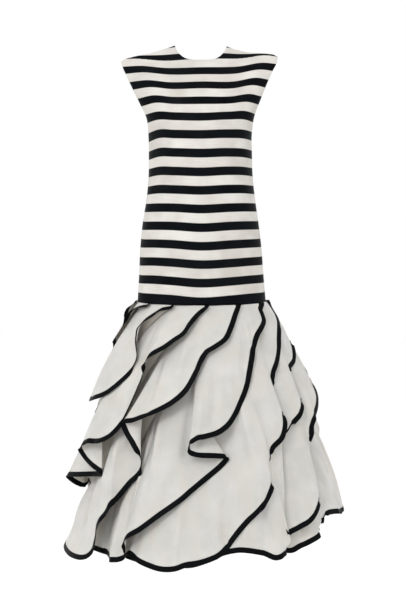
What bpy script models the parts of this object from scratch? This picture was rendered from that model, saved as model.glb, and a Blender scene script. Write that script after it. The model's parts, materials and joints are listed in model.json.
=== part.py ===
"""Gown with a straight striped bodice and a skirt of twelve spiral flounces, in metres, +Z up.

The gown hangs as it is worn. Its origin lies midway between the shoulder points at the neck, where the
wearer holds it up. X runs to the viewer's right, Y away from the viewer, and azimuths turn from the
front (-Y) to +X. The sizes and tables are in millimetres and degrees.
"""

import math

import bmesh
import bpy
from mathutils import Vector
from mathutils.bvhtree import BVHTree

MM = 0.001

# Walls and gaps
CLOTH = 1.0
BINDING = 1.4
BINDING_WIDTH = 10.0
HEM_GAP = 0.4
SEAM_GAP = 0.3
SEAT_GAP = 0.8

# Bodice
WAIST_LEVEL = -697.0
NECK_SHARE = 0.33
FRONT_NECK_LEVEL = -49.0
BACK_NECK_LEVEL = -62.0
BODICE_ROWS = 13
ROW_CROWDING = 1.5

# Skirt foundation
FOUNDATION_DROP = 560.0
WAIST_HALF_WIDTH = 169.5
WAIST_HALF_DEPTH = 120.0
HEM_HALF_WIDTH = 255.0
HEM_HALF_DEPTH = 240.0
FOUNDATION_SIDES = 48
FOUNDATION_RINGS = 2

# A flounce stands off the foundation by rise x depth - bend x depth squared, up to the turning depth
HANG_RISE = 0.62
HANG_BEND = 0.0008
FOLD_POWER = 1.0
SWING_POWER = 1.3

# Shares of the way from a flounce's seam to its hem where its surface has points
SHARES = (0.0, 0.3, 0.55, 0.78, 1.0)

# Rows whose seam-to-hem lines lie further apart than this get smooth ones between them
LONG_STEP = 40.0
LINE_SHARE = 0.6

# Where flounces lie over each other, each is pressed in under the ones above it
LAYER_ROOM = 3.5
LAYERS = 4
OWN_ROWS = 3
NEAR_SHARE = 0.6
SETTLE_SWEEPS = 8
RAY_STEP = 0.2

# At its start a flounce is lifted over the next one, which passes under it at the waist
LAP_LIFT = 3.4
LAP_FULL = 13.0
LAP_END = 19.0

# Share of the bodice's half width for each column of its grid
COLUMNS = (0.0, 0.12, 0.2, 0.26, 0.305, NECK_SHARE, 0.42, 0.53, 0.65, 0.76, 0.86, 0.94, 0.985, 1.0)

# level, left half width, right half width
BODICE_OUTLINE = (
    (-697, 173.5, 174.5),
    (-630, 169.5, 168.5),
    (-580, 167.5, 165.0),
    (-530, 164.0, 160.0),
    (-480, 158.5, 153.5),
    (-435, 151.0, 147.5),
    (-400, 145.5, 141.5),
    (-340, 142.0, 137.0),
    (-260, 142.5, 135.5),
    (-216, 144.0, 136.5),
    (-170, 162.5, 152.0),
    (-128, 183.0, 168.0),
    (-84, 203.5, 187.0),
    (-50, 217.0, 203.0),
    (0, 217.0, 203.0),
)

# share of the half width, left level, right level of the shoulder line, carried on across the neck
SHOULDER_LINE = (
    (0.0, -22, -22),
    (0.2, -17, -17),
    (0.33, -10, -12),
    (0.42, -17, -19),
    (0.53, -24, -25),
    (0.65, -32, -29),
    (0.76, -36, -30),
    (0.86, -41, -31),
    (0.94, -46, -34),
    (1.0, -53, -40),
)

# share of the way from the centre to the neck point, share of the scoop's depth
NECK_SCOOP = (
    (0.0, 1.0),
    (0.36, 0.99),
    (0.52, 0.95),
    (0.72, 0.8),
    (0.85, 0.52),
    (0.95, 0.24),
    (1.0, 0.0),
)

# distance below the shoulder line, front depth, back depth
BODY_DEPTH = (
    (0, 0, 0),
    (30, 28, 24),
    (60, 56, 46),
    (95, 80, 68),
    (135, 99, 87),
    (180, 113, 103),
    (230, 120, 112),
    (330, 117, 110),
    (430, 116, 110),
    (520, 118, 115),
    (600, 120, 120),
    (675, 123.5, 123.5),
    (720, 124, 124),
)

# level, how much of the centre's depth the panel's side edge keeps
EDGE_SHARE = (
    (-700, 0.0),
    (-216, 0.0),
    (-190, 0.24),
    (-155, 0.42),
    (-110, 0.52),
    (-40, 0.6),
)

# degrees past the flounce's start, drop of its seam below the waist
SEAM_PATH = (
    (-10, 0.3),
    (30, 0.3),
    (34, 0.9),
    (38, 4),
    (43, 11),
    (50, 26),
    (60, 52),
    (70, 84),
    (80, 122),
    (90, 170),
    (100, 232),
    (110, 310),
    (120, 390),
    (132, 445),
    (150, 462),
    (160, 464),
)

# azimuth where each flounce leaves the waist seam
STARTS = {
    "01": -90,
    "02": -62,
    "03": -35,
    "04": 4,
    "05": 40,
    "06": 68,
    "07": 90,
    "08": 112,
    "09": 141,
    "10": 180,
    "11": 219,
    "12": 248,
}

# Each flounce: degrees past its start at the seam and at the hem, fold out of the even hang, hem's drop
FLOUNCES = {
    "01": (
        (0, 0, 3, 4),
        (4, 4, 10, 16),
        (9, 10, 10, 34),
        (15, 18, 4, 60),
        (21, 25, 0, 92),
        (28, 31, -4, 120),
        (35, 35, -12, 152),
        (41, 39, -20, 190),
        (46, 46, -14, 226),
        (52, 54, 0, 252),
        (59, 61, 4, 280),
        (64, 64, -8, 316),
        (70, 65, -20, 356),
        (76, 71, -18, 392),
        (81, 80, 0, 420),
        (87, 89, 10, 452),
        (93, 92, -2, 492),
        (99, 95, -18, 532),
        (104, 100, -16, 568),
        (109, 109, 0, 596),
        (116, 119, 8, 620),
        (126, 129, 2, 634),
        (136, 138, -12, 640),
        (150, 150, -22, 638),
    ),
    "02": (
        (0, 0, 3, 3),
        (5, 7, 8, 8),
        (10, 12, 8, 15),
        (14, 15, 6, 28),
        (18, 17, 2, 58),
        (21, 21, -2, 80),
        (25, 26, -5, 95),
        (30, 34, -7, 110),
        (34, 41, -7, 126),
        (38, 46, -5, 146),
        (46, 53, 4, 184),
        (55, 60, 8, 230),
        (62, 64, -6, 262),
        (69, 67, -16, 300),
        (76, 72, -12, 345),
        (84, 84, 8, 385),
        (93, 95, 12, 430),
        (101, 100, -4, 480),
        (107, 105, -20, 520),
        (113, 113, -8, 560),
        (122, 124, 10, 600),
        (132, 134, 4, 622),
        (141, 142, -8, 630),
        (150, 150, -14, 632),
    ),
    "03": (
        (0, 0, 3, 4),
        (6, 9, 3, 10),
        (12, 15, 4, 26),
        (17, 20, 5, 42),
        (22, 22, 4, 61),
        (26, 20.5, -2, 84),
        (30, 17, -8, 111),
        (33, 15, -16, 134),
        (36, 17.5, -25, 166),
        (38.5, 23, -24, 198),
        (41, 29.5, -14, 230),
        (43.5, 37, -6, 246),
        (46, 45, -8, 257),
        (50, 56, -12, 262),
        (54, 65, -15, 265),
        (58, 71, -14, 277),
        (63, 74, -8, 300),
        (70, 77, 0, 342),
        (77, 78.5, -14, 376),
        (83, 80.5, -30, 402),
        (88, 85.5, -18, 436),
        (94, 94, 4, 462),
        (101, 103, 12, 494),
        (108, 107, -6, 532),
        (115, 112, -22, 566),
        (122, 122, -8, 596),
        (130, 132, 8, 620),
        (140, 142, 2, 632),
        (150, 150, -8, 634),
    ),
    "04": (
        (0, 0, 3, 4),
        (6, 8, 2, 18),
        (12, 15.5, 2, 43),
        (16, 20.5, 2, 68),
        (22, 26, 1, 81),
        (29, 33, 0, 101),
        (35, 39, -2, 116),
        (39, 42, -4, 128),
        (43, 44.5, -10, 146),
        (45, 44.6, -16, 172),
        (47, 46.2, -20, 206),
        (49.5, 48.5, -22, 258),
        (52.5, 50.5, -14, 304),
        (55.5, 54, -7, 330),
        (60, 60, -3, 347),
        (64, 68, 0, 355),
        (67, 73, 2, 366),
        (70, 76.5, -4, 386),
        (73, 74, -18, 407),
        (75.5, 67, -26, 421),
        (78, 62, -37, 434),
        (81.5, 66, -48, 444),
        (86, 75, -44, 452),
        (92, 89, 0, 468),
        (97, 96, 18, 478),
        (103, 99, 2, 500),
        (108, 103, -18, 520),
        (114, 112, -10, 560),
        (122, 124, 8, 600),
        (132, 134, 4, 624),
        (141, 142, -6, 632),
        (150, 150, -12, 634),
    ),
    "05": (
        (0, 0, 3, 4),
        (3, 5, 2, 18),
        (9, 14, 1, 50),
        (15, 22, 0, 81),
        (22, 31, -4, 100),
        (29, 37, -9, 112),
        (35, 41, -10, 133),
        (40, 45, -13, 166),
        (48, 51, -12, 209),
        (54, 57, -5, 234),
        (60, 63, 0, 251),
        (65, 69, 2, 265),
        (71, 78.5, 0, 285),
        (75, 84, 2, 294),
        (78, 83, -8, 315),
        (81, 78, -22, 350),
        (84, 74.5, -38, 386),
        (87.5, 76, -52, 422),
        (91, 80, -42, 450),
        (94, 82, -18, 484),
        (95, 82.5, 0, 500),
        (97.5, 84.5, 0, 524),
        (100, 87.2, 0, 545),
        (103, 89.2, -5, 567),
        (106, 90.4, -12, 590),
        (109.5, 91.2, -14, 612),
        (113, 92.2, -14, 631),
        (116, 94, -10, 644),
        (119.5, 97.8, -4, 654),
        (124, 105, 2, 659),
        (130, 114, 6, 661),
        (137, 127, 8, 660),
        (144, 139, 0, 652),
        (150, 150, -12, 645),
    ),
    "06": (
        (0, 0, 3, 4),
        (3, 4, 2, 12),
        (8, 9, 2, 42),
        (15, 21.5, 0, 73),
        (22, 29, -6, 109),
        (28, 33, -11, 139),
        (33, 36.5, -16, 168),
        (37, 39.2, -20, 194),
        (40, 41.8, -21, 214),
        (44, 45.8, -21, 240),
        (49, 50.5, -15, 269),
        (54, 55.5, -6, 292),
        (59, 60.5, 0, 306),
        (63, 66, 6, 313),
        (67, 71, 8, 321),
        (70, 74, 4, 332),
        (72.5, 74, -4, 352),
        (75, 69, -10, 362),
        (77.5, 61, -18, 366),
        (80, 55, -28, 374),
        (83, 58, -36, 394),
        (86, 65, -34, 420),
        (88.5, 70, -22, 438),
        (90.5, 73.5, -10, 452),
        (92.5, 77.5, 0, 471),
        (95.5, 85.5, 8, 506),
        (99, 93.5, 10, 546),
        (101.5, 99, 7, 570),
        (103.5, 101, -4, 590),
        (105.5, 100.8, -10, 606),
        (108, 101, -14, 622),
        (111, 104, -16, 634),
        (115, 109.5, -20, 641),
        (119, 113, -32, 640),
        (124, 118, -42, 640),
        (131, 127, -36, 640),
        (140, 139, -26, 640),
        (150, 150, -26, 636),
    ),
    "07": (
        (0, 0, 3, 4),
        (7, 9, 2, 42),
        (12, 16, 0, 62),
        (17, 22, -5, 88),
        (22, 27, -12, 118),
        (28, 33.5, -18, 149),
        (33, 38.5, -24, 172),
        (38, 41.5, -28, 198),
        (43, 42.6, -22, 232),
        (48, 43.6, -10, 264),
        (52, 44.8, -4, 294),
        (56, 48, -8, 330),
        (59.5, 53.8, -20, 360),
        (62.5, 55.2, -22, 384),
        (65.5, 56.2, -14, 410),
        (68.5, 57.2, -6, 436),
        (72, 60.3, -3, 466),
        (75.5, 65.2, -4, 500),
        (78.5, 69.6, -4, 527),
        (81, 73.5, -4, 550),
        (83.5, 77, -7, 574),
        (86, 79.5, -8, 592),
        (88.5, 82.5, -4, 607),
        (91, 86.5, 0, 617),
        (94, 91.5, 2, 624),
        (97, 96.5, 0, 628),
        (100.5, 100.5, 0, 637),
        (104.5, 105.5, 0, 639),
        (108, 111, -2, 633),
        (112, 117, -6, 624),
        (116, 122, -14, 616),
        (120, 125, -26, 625),
        (126, 128, -32, 636),
        (134, 135, -32, 640),
        (142, 142, -30, 640),
        (150, 150, -32, 638),
    ),
    "08": (
        (0, 0, 3, 4),
        (8, 10, 2, 28),
        (16, 20, 2, 60),
        (22, 27, 0, 98),
        (27, 30.5, -5, 127),
        (31, 34.5, -14, 151),
        (35, 42, -24, 169),
        (39, 45.5, -26, 196),
        (43.5, 47, -16, 232),
        (47.5, 48.8, -8, 260),
        (51.5, 52.5, -9, 281),
        (55.5, 58.8, -18, 304),
        (60, 65, -27, 346),
        (65, 68, -30, 415),
        (70, 70, -28, 480),
        (74, 71.6, -22, 545),
        (78, 72.6, -12, 588),
        (81, 72.4, -4, 610),
        (84, 76.5, -4, 617),
        (87, 81, -8, 623),
        (90, 85, -13, 612),
        (93, 89.5, -16, 605),
        (97, 96, -18, 600),
        (103, 103, -20, 606),
        (109, 109, -24, 622),
        (115, 116, -30, 636),
        (122, 122, -30, 640),
        (132, 132, -28, 640),
        (141, 141, -28, 640),
        (150, 150, -30, 636),
    ),
    "09": (
        (0, 0, 3, 4),
        (7, 9, 2, 20),
        (14, 17, 2, 50),
        (21, 25, 4, 80),
        (27, 30, -4, 105),
        (32, 33, -12, 135),
        (37, 38, -8, 165),
        (42, 45, 2, 186),
        (46, 50, 0, 204),
        (49, 51.5, 5, 222),
        (52, 54, 7, 247),
        (56, 62, 3, 274),
        (60, 69, -1, 295),
        (64, 74, -5, 320),
        (68, 77, -10, 358),
        (72, 79.5, -12, 400),
        (76, 81.5, -8, 450),
        (80, 83, -2, 498),
        (83, 85.5, -2, 528),
        (86, 89.5, -6, 547),
        (89, 94.5, -10, 562),
        (92, 99, -18, 574),
        (95, 102, -28, 588),
        (99, 105, -38, 600),
        (105, 109, -44, 601),
        (112, 114, -44, 594),
        (120, 121, -42, 588),
        (129, 129, -38, 588),
        (139, 139, -36, 596),
        (150, 150, -36, 610),
    ),
    "10": (
        (0, 0, 3, 4),
        (8, 9, 2, 22),
        (15, 18, 2, 52),
        (22, 26, -2, 84),
        (29, 33, -6, 112),
        (36, 40, -2, 146),
        (43, 45, 2, 184),
        (50, 47.5, -8, 222),
        (56, 50.5, -16, 262),
        (61, 57, -12, 300),
        (66, 67, 2, 330),
        (71, 74, 6, 366),
        (76, 77.5, -4, 410),
        (81, 80, -16, 455),
        (85, 83, -10, 500),
        (89, 88, 4, 540),
        (92.5, 92, 12, 564),
        (97, 101, 6, 561),
        (102, 109, 3, 550),
        (106, 113.6, -1, 551),
        (110, 116.2, -3, 566),
        (114, 117.6, 3, 584),
        (118, 121.5, 6, 597),
        (122, 127, 4, 606),
        (126, 132.5, -2, 614),
        (131, 137.5, -5, 622),
        (137, 141, -17, 616),
        (143, 146, -26, 608),
        (150, 150, -30, 602),
    ),
    "11": (
        (0, 0, 3, 4),
        (7, 9, 2, 20),
        (14, 17, 2, 50),
        (21, 23, 2, 86),
        (27, 27.5, -2, 118),
        (33, 33, -6, 146),
        (40, 42, -6, 166),
        (46, 48, -8, 190),
        (52, 51, -14, 226),
        (57, 54, -18, 266),
        (61, 58.5, -10, 298),
        (65, 66, 0, 320),
        (70, 74, 4, 342),
        (76, 78, -6, 370),
        (82, 80, -16, 404),
        (87, 83, -14, 440),
        (91, 87.5, -4, 474),
        (95, 95, 8, 506),
        (101, 100, 2, 540),
        (107, 104, -12, 574),
        (112, 109, -24, 592),
        (118, 118, -26, 598),
        (126, 129, -28, 600),
        (136, 138, -28, 600),
        (150, 150, -38, 602),
    ),
    "12": (
        (0, 0, 3, 4),
        (6, 8, 2, 16),
        (12, 16, 2, 38),
        (19, 24, 0, 62),
        (27, 31, -4, 88),
        (34, 36, -8, 122),
        (41, 40, -12, 160),
        (47, 44, -8, 200),
        (53, 52, -4, 232),
        (59, 62, 0, 254),
        (65, 67.5, -6, 276),
        (70, 69.5, -12, 306),
        (75, 72, -18, 344),
        (80, 75, -16, 384),
        (84, 80, -6, 412),
        (88, 88, 8, 444),
        (94, 94, 6, 484),
        (101, 96, -10, 524),
        (107, 100, -22, 560),
        (112, 108, -16, 592),
        (117, 118, 0, 614),
        (125, 128, 6, 632),
        (136, 138, -10, 640),
        (150, 150, -22, 638),
    ),
}


def clear_scene():
    """Remove what the new file came with."""
    for thing in list(bpy.data.objects):
        bpy.data.objects.remove(thing, do_unlink=True)


def cloth_material(name, colour, roughness):
    """A plain cloth finish."""
    material = bpy.data.materials.new(name)
    material.use_nodes = True
    shader = material.node_tree.nodes["Principled BSDF"]
    shader.inputs["Base Color"].default_value = (*colour, 1.0)
    shader.inputs["Roughness"].default_value = roughness
    shader.inputs["Metallic"].default_value = 0.0
    return material


def hermite(before, start, end, after, t):
    """The smooth value at share t between two knots; each knot is (place, value)."""
    span = end[0] - start[0]
    slope_in = (end[1] - before[1]) / (end[0] - before[0])
    slope_out = (after[1] - start[1]) / (after[0] - start[0])
    t2 = t * t
    t3 = t2 * t
    value = (2 * t3 - 3 * t2 + 1) * start[1] + (3 * t2 - 2 * t3) * end[1]
    return value + span * ((t3 - 2 * t2 + t) * slope_in + (t3 - t2) * slope_out)


def curve(table, at, column=1):
    """The table's smooth value in a column where its first column is at."""
    knots = [(row[0], row[column]) for row in table]
    if at <= knots[0][0]:
        return knots[0][1]
    if at >= knots[-1][0]:
        return knots[-1][1]
    index = max(i for i, knot in enumerate(knots[:-1]) if knot[0] <= at)
    start, end = knots[index], knots[index + 1]
    before = knots[max(index - 1, 0)]
    after = knots[min(index + 2, len(knots) - 1)]
    return hermite(before, start, end, after, (at - start[0]) / (end[0] - start[0]))


def straight(table, at, column=1):
    """As curve, with straight runs between the rows."""
    for start, end in zip(table, table[1:]):
        if at <= end[0]:
            share = max(0.0, (at - start[0]) / (end[0] - start[0]))
            return start[column] + share * (end[column] - start[column])
    return table[-1][column]


def polar(azimuth, reach, level):
    """A point in metres from its azimuth, its distance from the axis and its level."""
    turn = math.radians(azimuth)
    return Vector((reach * math.sin(turn), -reach * math.cos(turn), level)) * MM


def foundation_reach(azimuth, drop):
    """How far the foundation's outer face lies from the axis."""
    share = drop / FOUNDATION_DROP
    half_width = WAIST_HALF_WIDTH + share * (HEM_HALF_WIDTH - WAIST_HALF_WIDTH)
    half_depth = WAIST_HALF_DEPTH + share * (HEM_HALF_DEPTH - WAIST_HALF_DEPTH)
    turn = math.radians(azimuth)
    return 1.0 / math.hypot(math.sin(turn) / half_width, math.cos(turn) / half_depth)


def hang(depth):
    """How far a flounce stands off at a depth below its seam."""
    depth = min(depth, HANG_RISE / (2 * HANG_BEND))
    return HANG_RISE * depth - HANG_BEND * depth * depth


def lap_lift(turn):
    """How far a flounce is lifted near its start, over the next one's top."""
    share = min(1.0, max(0.0, (LAP_END - turn) / (LAP_END - LAP_FULL)))
    return LAP_LIFT * share * share * (3 - 2 * share)


def grid_normals(grid):
    """Unit normals of a grid of points, from their neighbours along both ways."""
    rows, columns = len(grid), len(grid[0])
    normals = []
    for i in range(rows):
        line = []
        for j in range(columns):
            along = grid[min(i + 1, rows - 1)][j] - grid[max(i - 1, 0)][j]
            down = grid[i][min(j + 1, columns - 1)] - grid[i][max(j - 1, 0)]
            line.append(along.cross(down).normalized())
        normals.append(line)
    return normals


def add_object(name, bm, material, collection):
    """Turn a bmesh into a named object."""
    mesh = bpy.data.meshes.new(name)
    bm.to_mesh(mesh)
    bm.free()
    mesh.materials.append(material)
    thing = bpy.data.objects.new(name, mesh)
    collection.objects.link(thing)
    return thing


def wall(name, grid, normals, thickness, material, collection):
    """A closed wall of even thickness, centred on a grid of points."""
    bm = bmesh.new()
    half = thickness * MM / 2
    rows, columns = len(grid), len(grid[0])
    sides = []
    for way in (half, -half):
        sides.append([[bm.verts.new(p + n * way) for p, n in zip(*line)] for line in zip(grid, normals)])
    for side in sides:
        for i in range(rows - 1):
            for j in range(columns - 1):
                bm.faces.new((side[i][j], side[i + 1][j], side[i + 1][j + 1]))
                bm.faces.new((side[i][j], side[i + 1][j + 1], side[i][j + 1]))
    rim = [(i, 0) for i in range(rows)]
    rim += [(rows - 1, j) for j in range(1, columns)]
    rim += [(i, columns - 1) for i in range(rows - 2, -1, -1)]
    rim += [(0, j) for j in range(columns - 2, 0, -1)]
    for pair in zip(rim, rim[1:] + rim[:1]):
        (i, j), (k, m) = sorted(pair)
        bm.faces.new((sides[0][i][j], sides[0][k][m], sides[1][k][m]))
        bm.faces.new((sides[0][i][j], sides[1][k][m], sides[1][i][j]))
    bmesh.ops.recalc_face_normals(bm, faces=bm.faces)
    return add_object(name, bm, material, collection)


def neck_level(share, side, centre_level):
    """Level of a panel's top edge: neckline inside the neck point, shoulder line outside it."""
    column = 1 if side < 0 else 2
    if share >= NECK_SHARE:
        return straight(SHOULDER_LINE, share, column)
    point = straight(SHOULDER_LINE, NECK_SHARE, column)
    return point + (centre_level - point) * straight(NECK_SCOOP, share / NECK_SHARE)


def bodice_point(share, side, level, depth_column, facing):
    """A point of the bodice's middle surface. side is -1 or 1, and facing -1 at the front."""
    column = 1 if side < 0 else 2
    half_width = curve(BODICE_OUTLINE, level, column)
    below = straight(SHOULDER_LINE, share, column) - level
    depth = curve(BODY_DEPTH, below, depth_column)
    round_off = math.sqrt(max(0.0, 1.0 - share * share))
    kept = round_off + (1.0 - round_off) * straight(EDGE_SHARE, level)
    forward = max(depth * kept, SEAM_GAP / 2)
    return Vector((side * share * half_width, facing * forward, level)) * MM


def bodice_grid(columns, depth_column, facing, centre_level):
    """Grid of a panel from its columns, each a (side, share), bottom to top."""
    grid = []
    bottom = WAIST_LEVEL + SEAM_GAP
    for side, share in columns:
        top = neck_level(share, side, centre_level)
        line = []
        for k in range(BODICE_ROWS + 1):
            height = 1.0 - (1.0 - k / BODICE_ROWS) ** ROW_CROWDING
            level = bottom + (top - bottom) * height
            line.append(bodice_point(share, side, level, depth_column, facing))
        grid.append(line)
    return grid


def square_seams(grid, normals):
    """Turn the normals along seams into the seam's own plane, so that mitred edges stay apart."""
    for line, ways in zip(grid, normals):
        for k, (point, way) in enumerate(zip(line, ways)):
            if abs(point.y) <= SEAM_GAP * MM:
                way.y = 0.0
                way.normalize()


def build_bodice(material, collection):
    """The front in one panel and the back in two, which meet at a seam down the centre."""
    left = [(-1, share) for share in reversed(COLUMNS)]
    right = [(1, share) for share in COLUMNS]
    front = bodice_grid(left[:-1] + right, 1, -1, FRONT_NECK_LEVEL)
    normals = grid_normals(front)
    square_seams(front, normals)
    wall("bodice_front", front, normals, CLOTH, material, collection)
    for name, side, columns in (("bodice_back_left", -1, left), ("bodice_back_right", 1, right)):
        back = bodice_grid(columns, 2, 1, BACK_NECK_LEVEL)
        normals = grid_normals(back)
        square_seams(back, normals)
        centre = -1 if side < 0 else 0
        for point, way in zip(back[centre], normals[centre]):
            point.x = side * SEAM_GAP * MM / 2
            way.x = 0.0
            way.normalize()
        wall(name, back, normals, CLOTH, material, collection)


def build_foundation(material, collection):
    """The A-line under-skirt that carries the flounces' seams."""
    bm = bmesh.new()
    rings = []
    top = SEAM_GAP
    for k in range(FOUNDATION_RINGS + 1):
        drop = top + (FOUNDATION_DROP - top) * k / FOUNDATION_RINGS
        ring = []
        for step in range(FOUNDATION_SIDES):
            azimuth = 360.0 * step / FOUNDATION_SIDES
            ring.append(bm.verts.new(polar(azimuth, foundation_reach(azimuth, drop), WAIST_LEVEL - drop)))
        rings.append(ring)
    for upper, lower in zip(rings, rings[1:]):
        for step in range(FOUNDATION_SIDES):
            ahead = (step + 1) % FOUNDATION_SIDES
            bm.faces.new((upper[step], lower[step], lower[ahead], upper[ahead]))
    bmesh.ops.recalc_face_normals(bm, faces=bm.faces)
    thing = add_object("skirt_foundation", bm, material, collection)
    shell = thing.modifiers.new("wall", "SOLIDIFY")
    shell.thickness = CLOTH * MM
    shell.offset = -1.0
    return thing


class Sheet:
    """A flounce's middle surface: for each row from its start, azimuth, stand-off and drop from seam to hem."""

    def __init__(self, number):
        self.number = number
        self.rows = smooth_rows(STARTS[number], FLOUNCES[number])
        self.places = []
        for row in self.rows:
            self.places.append([flounce_place(STARTS[number], row, share) for share in SHARES])

    def grid(self):
        """The surface's points."""
        return [[place_point(place) for place in line] for line in self.places]

    def strip(self, grid, normals):
        """The binding's two edges below the hem, and their normals."""
        edges, edge_normals = [], []
        last = len(grid) - 1
        for i, line in enumerate(grid):
            along = grid[min(i + 1, last)][-1] - grid[max(i - 1, 0)][-1]
            normal = normals[i][-1]
            down = normal.cross(along).normalized()
            if down.dot(line[-1] - line[-2]) < 0:
                down.negate()
            edges.append([line[-1] + down * HEM_GAP * MM, line[-1] + down * (HEM_GAP + BINDING_WIDTH) * MM])
            edge_normals.append([normal, normal])
        return edges, edge_normals


def flounce_place(start, row, share):
    """Azimuth, stand-off and drop of a point of a flounce, share of the way from its seam to its hem."""
    root, hem, fold, drop = row
    seam = curve(SEAM_PATH, root)
    depth = share * (drop - seam)
    azimuth = start - (root + (hem - root) * share**SWING_POWER)
    stand = SEAT_GAP + CLOTH / 2 + lap_lift(root) + hang(depth) + fold * share**FOLD_POWER
    return [azimuth, stand, seam + depth]


def place_point(place):
    """The point of a place on the skirt."""
    azimuth, stand, drop = place
    return polar(azimuth, foundation_reach(azimuth, drop) + stand, WAIST_LEVEL - drop)


def smooth_rows(start, table):
    """The table's rows with smooth ones put in between lines that lie far apart."""
    rows = []
    count = len(table)
    for index in range(count - 1):
        near, far = table[index], table[index + 1]
        before = table[max(index - 1, 0)]
        after = table[min(index + 2, count - 1)]
        near_hem = place_point(flounce_place(start, near, 1.0))
        fall = near_hem - place_point(flounce_place(start, near, LINE_SHARE))
        across = (place_point(flounce_place(start, far, 1.0)) - near_hem).cross(fall.normalized()).length
        steps = 1 + int(across / MM / LONG_STEP)
        for step in range(steps):
            t = step / steps
            row = []
            for a, b, c, d in zip(before, near, far, after):
                bend = 2 * a - 5 * b + 4 * c - d
                row.append(b + 0.5 * t * (c - a + t * (bend + t * (3 * (b - c) + d - a))))
            rows.append(row)
    rows.append(table[-1])
    return rows


def gather_faces(sheets):
    """All middle surfaces and bindings in one search tree, and what each face belongs to."""
    points, faces, owners = [], [], []
    edges = []
    for index, sheet in enumerate(sheets):
        grid = sheet.grid()
        strip, _ = sheet.strip(grid, grid_normals(grid))
        edges.append([pair[1] for pair in strip])
        base = len(points)
        width = len(grid[0]) + 1
        for line, pair in zip(grid, strip):
            points += line + [pair[1]]
        for i in range(len(grid) - 1):
            for j in range(width - 1):
                a, b = base + i * width + j, base + (i + 1) * width + j
                faces += [(a, b, b + 1), (a, b + 1, a + 1)]
                columns = (min(j, width - 2), min(j + 1, width - 2))
                owners += [(index, i, columns)] * 2
    return BVHTree.FromPolygons(points, faces), owners, edges


def lies_over(sheets, first, second):
    """1 where the first place (sheet, row) must lie outside the second, -1 inside it, 0 where they are free."""
    if first[0] == second[0]:
        if -OWN_ROWS <= second[1] - first[1] < OWN_ROWS:
            return 0
        return 1 if first[1] < second[1] else -1
    ahead = (second[0] - first[0]) % len(sheets)
    if ahead <= LAYERS:
        return 1
    return -1 if len(sheets) - ahead <= LAYERS else 0


def settle(sheets):
    """Press the flounces in wherever one would touch another that lies over it."""
    tree, owners, edges = gather_faces(sheets)
    presses = [[[0.0] * len(line) for line in sheet.places] for sheet in sheets]
    for index, sheet in enumerate(sheets):
        for i, line in enumerate(sheet.grid()):
            for j, point in enumerate(line[1:] + [edges[index][i]], start=1):
                column = min(j, len(SHARES) - 1)
                out = Vector((point.x, point.y, 0.0))
                reach = out.length
                out.normalize()
                start = Vector((0.0, 0.0, point.z))
                travelled = 0.0
                while True:
                    hit, _, face, distance = tree.ray_cast(start + out * travelled, out)
                    if hit is None:
                        break
                    travelled += distance
                    other, row, columns = owners[face]
                    way = lies_over(sheets, (index, i), (other, row))
                    short = LAYER_ROOM * MM - way * (reach - travelled)
                    if way < 0 and short > 0:
                        presses[index][i][column] = max(presses[index][i][column], short)
                    if way > 0 and short > 0:
                        for k in (row, row + 1):
                            for m in columns:
                                if m:
                                    presses[other][k][m] = max(presses[other][k][m], short)
                    travelled += RAY_STEP * MM
    for sheet, press in zip(sheets, presses):
        last_row, last_column = len(press) - 1, len(press[0]) - 1
        for i, line in enumerate(sheet.places):
            for j in range(1, len(line)):
                near = [press[i][j]]
                near.append(NEAR_SHARE * press[max(i - 1, 0)][j])
                near.append(NEAR_SHARE * press[min(i + 1, last_row)][j])
                near.append(NEAR_SHARE * press[i][max(j - 1, 1)])
                near.append(NEAR_SHARE * press[i][min(j + 1, last_column)])
                seat = SEAT_GAP + (BINDING if j == last_column else CLOTH) / 2
                line[j][1] = min(line[j][1], max(seat, line[j][1] - max(near) / MM))


def build_flounce(sheet, cloth, binding, collection):
    """One flounce and the binding along its free edge."""
    grid = sheet.grid()
    normals = grid_normals(grid)
    wall(f"flounce_{sheet.number}", grid, normals, CLOTH, cloth, collection)
    strip, strip_normals = sheet.strip(grid, normals)
    wall(f"binding_{sheet.number}", strip, strip_normals, BINDING, binding, collection)


def main():
    """Build every piece of the gown."""
    clear_scene()
    collection = bpy.data.collections.new("striped_flounce_gown")
    bpy.context.scene.collection.children.link(collection)
    striped = cloth_material("striped_satin", (0.45, 0.44, 0.42), 0.45)
    organza = cloth_material("ivory_organza", (0.73, 0.70, 0.66), 0.6)
    black = cloth_material("black_binding", (0.01, 0.01, 0.01), 0.55)
    lining = cloth_material("plain_ivory", (0.70, 0.67, 0.62), 0.7)
    build_bodice(striped, collection)
    build_foundation(lining, collection)
    sheets = [Sheet(number) for number in FLOUNCES]
    for _ in range(SETTLE_SWEEPS):
        settle(sheets)
    for sheet in sheets:
        build_flounce(sheet, organza, black, collection)


main()
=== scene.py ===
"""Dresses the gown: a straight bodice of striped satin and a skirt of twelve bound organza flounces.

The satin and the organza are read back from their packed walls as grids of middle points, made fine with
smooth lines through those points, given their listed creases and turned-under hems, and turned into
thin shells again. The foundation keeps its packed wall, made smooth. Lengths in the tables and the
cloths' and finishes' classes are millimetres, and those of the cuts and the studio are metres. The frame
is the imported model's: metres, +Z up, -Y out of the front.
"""

import json
import logging
import math
from dataclasses import dataclass
from enum import Enum
from typing import ClassVar

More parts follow.
